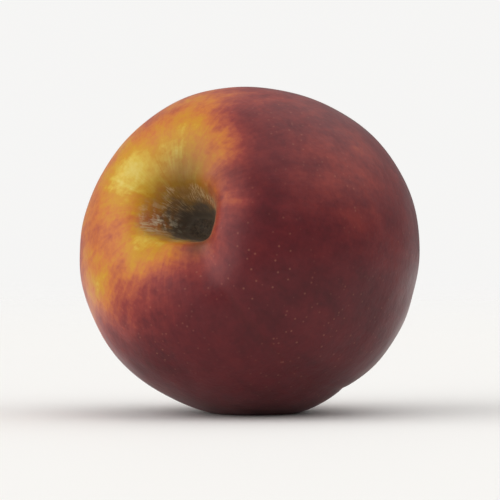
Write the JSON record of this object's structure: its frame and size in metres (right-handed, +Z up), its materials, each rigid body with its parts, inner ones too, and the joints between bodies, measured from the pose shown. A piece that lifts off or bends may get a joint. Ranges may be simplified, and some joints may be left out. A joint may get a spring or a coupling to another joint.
{
  "type": "nectarine",
  "caption": "Whole ripe nectarine lying on its cheek, with a deep stem cavity, a shallow suture and a small point at the tip.",
  "frame": {"origin": "bottom centre of the fruit's bounding box as it lies, on the table", "axes": "+Z up from the table, -Z out of the flat spot that it rests on; the stem cavity faces -Y, a little to -X and up"},
  "size_m": [0.0586, 0.059, 0.0563],
  "materials": {
    "skin": "smooth fruit skin with a soft gloss, deep red blush over golden yellow"
  },
  "bodies": {
    "root": {"nectarine": "skin"}
  },
  "joints": []
}
